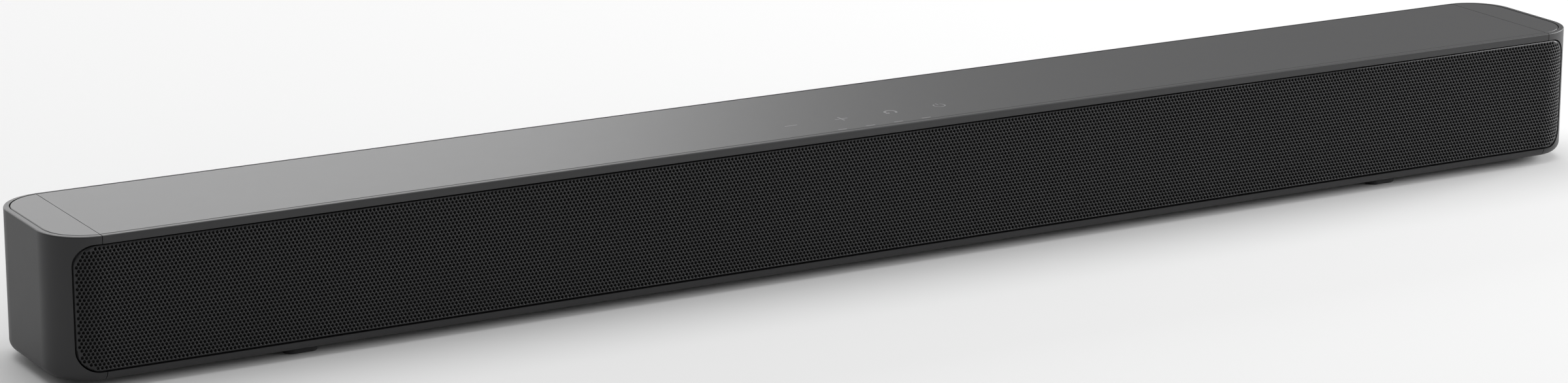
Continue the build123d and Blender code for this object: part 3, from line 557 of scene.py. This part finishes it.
def grained(name, colour, rough, grain, depth, variation=0.15, smear=0.12, **sockets):
    """Moulded plastic, rubber or paint: fine grain, and faint unevenness in colour and gloss."""
    tree = Tree(name, colour, rough, **sockets)
    patches = tree.noise(CLOUD_SCALE, 4.0)
    darker, lighter = shade(colour, 1 - variation), shade(colour, 1 + variation)
    tree.link(tree.blend(patches, darker, lighter), "Base Color")
    smears = tree.noise(SMEAR_SCALE, 5.0)
    tree.link(tree.spread(smears, rough * (1 - smear), rough * (1 + smear)), "Roughness")
    tree.bump(tree.noise(grain, 2.0), depth)
    return tree


def casing_plastic():
    """Black moulding. Its upward-facing top rim is painted the top panel's lighter grey: a painted
    highlight for the light that falls on it from above.
    """
    tree = grained("casing_plastic", CASING, 0.46, 2600.0, 0.008 * MM, smear=0.04)
    # Painted highlight: above RIM_DEPTH below the top, the black casing is coloured the lighter top grey,
    # as if lit from above.
    painted_lit_rim = tree.math("GREATER_THAN", tree.axis("Z"), TOP_Z - RIM_DEPTH)
    faint = tree.noise(CLOUD_SCALE, 4.0)
    black = tree.blend(faint, shade(CASING, 0.88), shade(CASING, 1.12))
    tree.link(tree.blend(painted_lit_rim, black, TOP_GREY), "Base Color")
    return tree.material


def top_plastic():
    return grained("top_plastic", TOP_GREY, 0.42, 3200.0, 0.004 * MM, 0.03, 0.015).material


def grille_paint():
    return grained("grille_paint", GRILLE_BLACK, 0.34, 2200.0, 0.010 * MM, 0.12, Metallic=0.35).material


def inner_plastic():
    return grained("inner_plastic", (0.020, 0.020, 0.020), 0.55, 1800.0, 0.02 * MM).material


def basket_paint():
    return grained("basket_paint", (0.035, 0.035, 0.037), 0.38, 1500.0, 0.02 * MM, Metallic=0.3).material


def rubber(name, colour, rough, grain):
    return grained(name, colour, rough, grain, 0.03 * MM, 0.2, Sheen_Weight=0.15).material


def ink():
    return grained("ink", (0.20, 0.20, 0.203), 0.36, 3000.0, 0.004 * MM, 0.08).material


def woven(name, dark, light, threads, rough=0.9):
    """Plain weave: two crossed sets of threads, one over the other in turn."""
    tree = Tree(name, dark, rough, Sheen_Weight=0.3, Sheen_Roughness=0.5)
    weft = tree.wave(threads, "Z")
    warp = tree.wave(threads, "X")
    height = tree.math("MAXIMUM", weft, warp)
    tree.link(tree.blend(tree.math("MULTIPLY", height, tree.noise(900.0)), dark, light), "Base Color")
    tree.bump(height, 0.08 * MM)
    return tree.material


def brushed(name, colour, rough, stretch=(1, 14, 1)):
    """Bare metal with fine drawn lines along one axis."""
    tree = Tree(name, colour, rough, Metallic=1.0)
    lines = tree.noise(700.0, 3.0, tuple(1 / s for s in stretch))
    tree.link(tree.blend(tree.noise(120.0), shade(colour, 0.82), shade(colour, 1.08)), "Base Color")
    tree.link(tree.spread(lines, rough * 0.75, rough * 1.3), "Roughness")
    tree.bump(lines, 0.01 * MM)
    return tree.material


def motor_metal():
    """Zinc plates with the dark ferrite ring between them."""
    tree = Tree("motor_metal", (0.52, 0.52, 0.53), 0.32)
    depth = tree.axis("Y", "Generated")
    ferrite = tree.between(depth, 0.19, 0.76)
    bright = tree.blend(tree.noise(150.0), (0.42, 0.42, 0.44), (0.60, 0.60, 0.62))
    tree.link(tree.blend(ferrite, bright, (0.035, 0.035, 0.038)), "Base Color")
    tree.link(tree.spread(ferrite, 1.0, 0.0), "Metallic")
    tree.link(tree.spread(ferrite, 0.3, 0.75), "Roughness")
    tree.bump(tree.noise(500.0), 0.03 * MM)
    return tree.material


def paper_cone():
    tree = Tree("paper_cone", (0.05, 0.05, 0.05), 0.8)
    fibres = tree.noise(420.0, 6.0)
    tree.link(tree.blend(fibres, (0.020, 0.020, 0.020), (0.085, 0.083, 0.080)), "Base Color")
    tree.bump(fibres, 0.12 * MM)
    return tree.material


def circuit_board(name, top, low, high):
    """Solder mask with copper tracks and pads; what stands on the board is black or metal."""
    tree = Tree(name, (0.015, 0.10, 0.045), 0.35)
    crossed = tree.math("MAXIMUM", tree.wave(90.0, "X"), tree.wave(70.0, "Y"))
    tracks = tree.math("GREATER_THAN", crossed, 0.93)
    green = tree.blend(tracks, (0.010, 0.075, 0.032), (0.030, 0.160, 0.070))
    height = tree.axis("Z")
    standing = tree.math("GREATER_THAN", height, top + 0.1 * MM)
    hanging = tree.math("LESS_THAN", height, low)
    part = tree.math("MAXIMUM", standing, hanging)
    tree.link(tree.blend(part, green, high), "Base Color")
    tree.bump(tree.noise(800.0), 0.02 * MM)
    return tree.material


def socket_metal():
    """Tinned shell; the tongue inside the mouth is dark plastic."""
    tree = Tree("socket_metal", (0.6, 0.6, 0.61), 0.28, Metallic=1.0)
    inside_x = tree.between(tree.axis("X", "Generated"), 0.10, 0.90)
    inside_z = tree.between(tree.axis("Z", "Generated"), 0.40, 0.80)
    inside = tree.math("MULTIPLY", inside_x, inside_z)
    shell = tree.blend(tree.noise(200.0), DULL_TIN, BRIGHT_TIN)
    tree.link(tree.blend(inside, shell, BLACK), "Base Color")
    tree.link(tree.spread(inside, 1.0, 0.0), "Metallic")
    tree.link(tree.spread(tree.noise(400.0), 0.22, 0.38), "Roughness")
    tree.bump(tree.noise(300.0), 0.01 * MM)
    return tree.material


def inlet_plastic():
    """Black moulding with two plated pins in its well."""
    tree = Tree("inlet_plastic", BLACK, 0.45)
    x, z = tree.axis("X"), tree.axis("Z")
    pins = None
    for centre in (INLET_X - PIN_SPREAD, INLET_X + PIN_SPREAD):
        dx = tree.math("SUBTRACT", x, centre)
        dz = tree.math("SUBTRACT", z, INLET_Z)
        squares = tree.math("ADD", tree.math("MULTIPLY", dx, dx), tree.math("MULTIPLY", dz, dz))
        distance = tree.math("SQRT", squares)
        near = tree.math("LESS_THAN", distance, PIN_RADIUS)
        pins = near if pins is None else tree.math("MAXIMUM", pins, near)
    front = tree.math("LESS_THAN", tree.axis("Y"), PIN_FRONT)
    pins = tree.math("MULTIPLY", pins, front)
    plastic = tree.blend(tree.noise(60.0), shade(BLACK, 0.85), shade(BLACK, 1.2))
    tree.link(tree.blend(pins, plastic, (0.66, 0.64, 0.60)), "Base Color")
    tree.link(pins, "Metallic")
    tree.link(tree.spread(pins, 0.45, 0.22), "Roughness")
    tree.bump(tree.noise(1800.0), 0.01 * MM)
    return tree.material


def transformer_tape():
    tree = Tree("transformer_tape", (0.6, 0.42, 0.06), 0.4)
    winding = tree.between(tree.axis("Y", "Generated"), 0.11, 0.89)
    layers = tree.wave(160.0, "Z", 0.5)
    tape = tree.blend(layers, (0.52, 0.36, 0.05), (0.70, 0.50, 0.10))
    tree.link(tree.blend(winding, tape, (0.03, 0.03, 0.032)), "Base Color")
    tree.bump(layers, 0.05 * MM)
    return tree.material


def capacitor_sleeve():
    tree = Tree("capacitor_sleeve", (0.02, 0.03, 0.08), 0.3)
    top = tree.math("GREATER_THAN", tree.axis("Z", "Generated"), 0.985)
    sleeve = tree.blend(tree.noise(80.0), (0.014, 0.022, 0.060), (0.030, 0.042, 0.100))
    tree.link(tree.blend(top, sleeve, (0.55, 0.55, 0.56)), "Base Color")
    tree.link(top, "Metallic")
    tree.bump(tree.noise(250.0), 0.03 * MM)
    return tree.material


def frosted_guide():
    """Clear polycarbonate with a milky end; unlit, it looks pale grey."""
    tree = Tree("frosted_guide", (0.16, 0.16, 0.165), 0.3, Subsurface_Weight=0.2, Subsurface_Scale=0.002)
    haze = tree.noise(600.0, 4.0)
    tree.link(tree.blend(haze, (0.13, 0.13, 0.135), (0.20, 0.20, 0.205)), "Base Color")
    tree.bump(haze, 0.01 * MM)
    return tree.material


def ribbon_film():
    tree = Tree("ribbon_film", (0.78, 0.78, 0.76), 0.35)
    wires = tree.math("GREATER_THAN", tree.wave(160.0, "X"), 0.55)
    tree.link(tree.blend(wires, (0.80, 0.80, 0.78), (0.55, 0.55, 0.57)), "Base Color")
    tree.bump(wires, 0.03 * MM)
    return tree.material


def wire_insulation():
    """One wire of each pair is red and the other black."""
    tree = Tree("wire_insulation", (0.3, 0.02, 0.02), 0.45)
    red = tree.math("GREATER_THAN", tree.axis("Y"), WIRE_MIDDLE_Y)
    tree.link(tree.blend(red, (0.012, 0.012, 0.012), (0.34, 0.018, 0.015)), "Base Color")
    tree.bump(tree.noise(500.0), 0.03 * MM)
    return tree.material


def foot_rubber():
    tree = grained("foot_rubber", (0.020, 0.020, 0.021), 0.75, 900.0, 0.05 * MM, 0.2)
    return tree.material


def slot_materials():
    """One material for each of the record's slots."""
    return {
        "casing": casing_plastic(),
        "top_plate": top_plastic(),
        "inner_plastic": inner_plastic(),
        "basket": basket_paint(),
        "motor": motor_metal(),
        "cone": paper_cone(),
        "soft_rubber": rubber("surround_rubber", (0.018, 0.018, 0.018), 0.62, 700.0),
        "spider": woven("spider_cotton", (0.34, 0.25, 0.10), (0.66, 0.52, 0.28), 450.0),
        "gasket": rubber("gasket_foam", (0.04, 0.04, 0.04), 0.9, 500.0),
        "screw": brushed("black_zinc", (0.07, 0.07, 0.075), 0.4, (1, 1, 6)),
        "bright_screw": brushed("zinc", (0.62, 0.62, 0.60), 0.3, (1, 1, 6)),
        "board": circuit_board("board_mask", BOARD_TOP, BOARD_TOP - 2 * BOARD_SHEET, CHIP),
        "socket_shell": socket_metal(),
        "socket_plastic": grained("socket_plastic", BLACK, 0.45, 1800.0, 0.01 * MM).material,
        "heatsink": brushed("extruded_aluminium", (0.60, 0.61, 0.63), 0.34),
        "transformer": transformer_tape(),
        "capacitor": capacitor_sleeve(),
        "light_guide": frosted_guide(),
        "ir_window": grained("ir_lens", (0.012, 0.006, 0.010), 0.12, 900.0, 0.004 * MM).material,
        "ribbon": ribbon_film(),
        "wire": wire_insulation(),
        "foot": foot_rubber(),
        "brass": brushed("turned_brass", (0.72, 0.53, 0.25), 0.28, (1, 0.1, 1)),
        "grille_metal": grille_paint(),
        "cloth": woven("speaker_cloth", (0.002, 0.002, 0.002), (0.007, 0.007, 0.007), 700.0),
    }


def node_materials():
    """Nodes whose material differs from the rest of their slot."""
    touch_bottom = TOUCH_BOARD_TOP - 1.01 * BOARD_SHEET
    return {
        "touch_board": circuit_board("touch_board_mask", TOUCH_BOARD_TOP, touch_bottom, CHIP),
        "wireless_module": circuit_board("module_mask", BOARD_TOP + 0.9 * MM, 0.0, TIN),
        "power_inlet": inlet_plastic(),
    }


def dress(sections, cloth, icons):
    materials = slot_materials()
    special = node_materials()
    for row in frame["record"]["subparts"]:
        node = frame["nodes"][row["node"]]
        material = special.get(row["node"], materials[row["material_slot"]])
        for place in node.material_slots:
            place.material = material
    for section in sections:
        section.data.materials.append(materials["grille_metal"])
    cloth.data.materials.append(materials["cloth"])
    paint = ink()
    for icon in icons:
        icon.data.materials.append(paint)


# ---------------------------------------------------------------- studio
FLOOR_GREY = (0.80, 0.80, 0.80)
FLOOR_HALF = 30.0
EVEN_LIGHT = 0.3
LOW_TARGET = (0, 0, 0.03)
LAMPS = {
    "overhead": {"location": (0, 0.6, 2.6), "target": (0, 0, 0), "size": (3.0, 3.0), "power": 46.0},
    "behind": {"location": (-0.2, 3.75, 1.1), "target": (0, 0, 0), "size": (4.5, 1.6), "power": 62.0},
    "right": {"location": (2.5, -0.67, 0.82), "target": LOW_TARGET, "size": (3.0, 0.9), "power": 90.0},
}
CAMERA_AT = (-1.01376, -1.72265, 0.55693)
CAMERA_YAW = 29.660
CAMERA_PITCH = 14.763
CAMERA_SENSOR = 36.0
CAMERA_LENS = 102.5
CAMERA_SHIFT = (-0.0004, -0.0049)


def floor():
    """Plain pale ground."""
    mesh = bpy.data.meshes.new("floor")
    half = FLOOR_HALF
    corners = [(-half, -half, 0), (half, -half, 0), (half, half, 0), (-half, half, 0)]
    mesh.from_pydata(corners, [], [(0, 1, 2, 3)])
    ground = bpy.data.objects.new("floor", mesh)
    bpy.context.collection.objects.link(ground)
    mesh.materials.append(Tree("floor_paper", FLOOR_GREY, 0.9, Specular_IOR_Level=0.1).material)


def softbox(name, location, target, size, power):
    data = bpy.data.lights.new(name, "AREA")
    data.shape = "RECTANGLE"
    data.size, data.size_y = size
    data.energy = power
    lamp = bpy.data.objects.new(name, data)
    lamp.location = location
    lamp.rotation_euler = (Vector(target) - Vector(location)).to_track_quat("-Z", "Y").to_euler()
    lamp.visible_camera = False
    bpy.context.collection.objects.link(lamp)


def even_light(strength):
    world = bpy.data.worlds.new("studio")
    world.use_nodes = True
    background = world.node_tree.nodes["Background"]
    background.inputs["Color"].default_value = (1, 1, 1, 1)
    background.inputs["Strength"].default_value = strength
    bpy.context.scene.world = world


def studio():
    """Even soft light, with soft lamps overhead, behind and on the right."""
    even_light(EVEN_LIGHT)
    for name, lamp in LAMPS.items():
        softbox(name, **lamp)


def make_camera():
    data = bpy.data.cameras.new("camera")
    data.sensor_width = CAMERA_SENSOR
    data.lens = CAMERA_LENS
    data.shift_x, data.shift_y = CAMERA_SHIFT
    data.clip_start = 0.05
    camera = bpy.data.objects.new("camera", data)
    bpy.context.collection.objects.link(camera)
    camera.location = CAMERA_AT
    yaw, pitch = math.radians(CAMERA_YAW), math.radians(CAMERA_PITCH)
    ahead = Vector((math.sin(yaw) * math.cos(pitch), math.cos(yaw) * math.cos(pitch), -math.sin(pitch)))
    camera.rotation_euler = ahead.to_track_quat("-Z", "Y").to_euler()
    bpy.context.scene.camera = camera


dress(perforated_grille(), wrapped_cloth(), printed_icons())
floor()
studio()
make_camera()
bpy.context.scene.view_settings.view_transform = "Standard"
